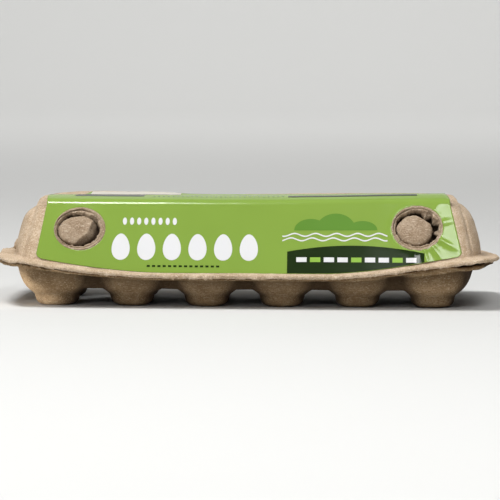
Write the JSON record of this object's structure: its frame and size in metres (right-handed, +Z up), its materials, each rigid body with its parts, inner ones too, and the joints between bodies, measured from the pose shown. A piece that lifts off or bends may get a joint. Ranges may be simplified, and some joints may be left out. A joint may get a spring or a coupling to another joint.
{
  "type": "closed egg carton",
  "caption": "Shut egg carton of moulded paper pulp with cup feet, a sloping lid with lock knobs and a glossy label.",
  "frame": {"origin": "on the ground, under the middle of the carton's box", "axes": "+X along the carton's length, to the right seen from its front; -Y is the front with the label and the lock knobs; +Z up"},
  "size_m": [0.305, 0.108, 0.0648],
  "materials": {
    "pulp_tray": "matte moulded pulp",
    "pulp_lid": "matte moulded pulp",
    "label_paper": "gloss"
  },
  "bodies": {
    "root": {"tray": "pulp_tray", "lid": "pulp_lid", "hinge": "pulp_lid", "label": "label_paper", "lock_knob_left": "pulp_tray", "lock_knob_right": "pulp_tray"}
  },
  "joints": []
}
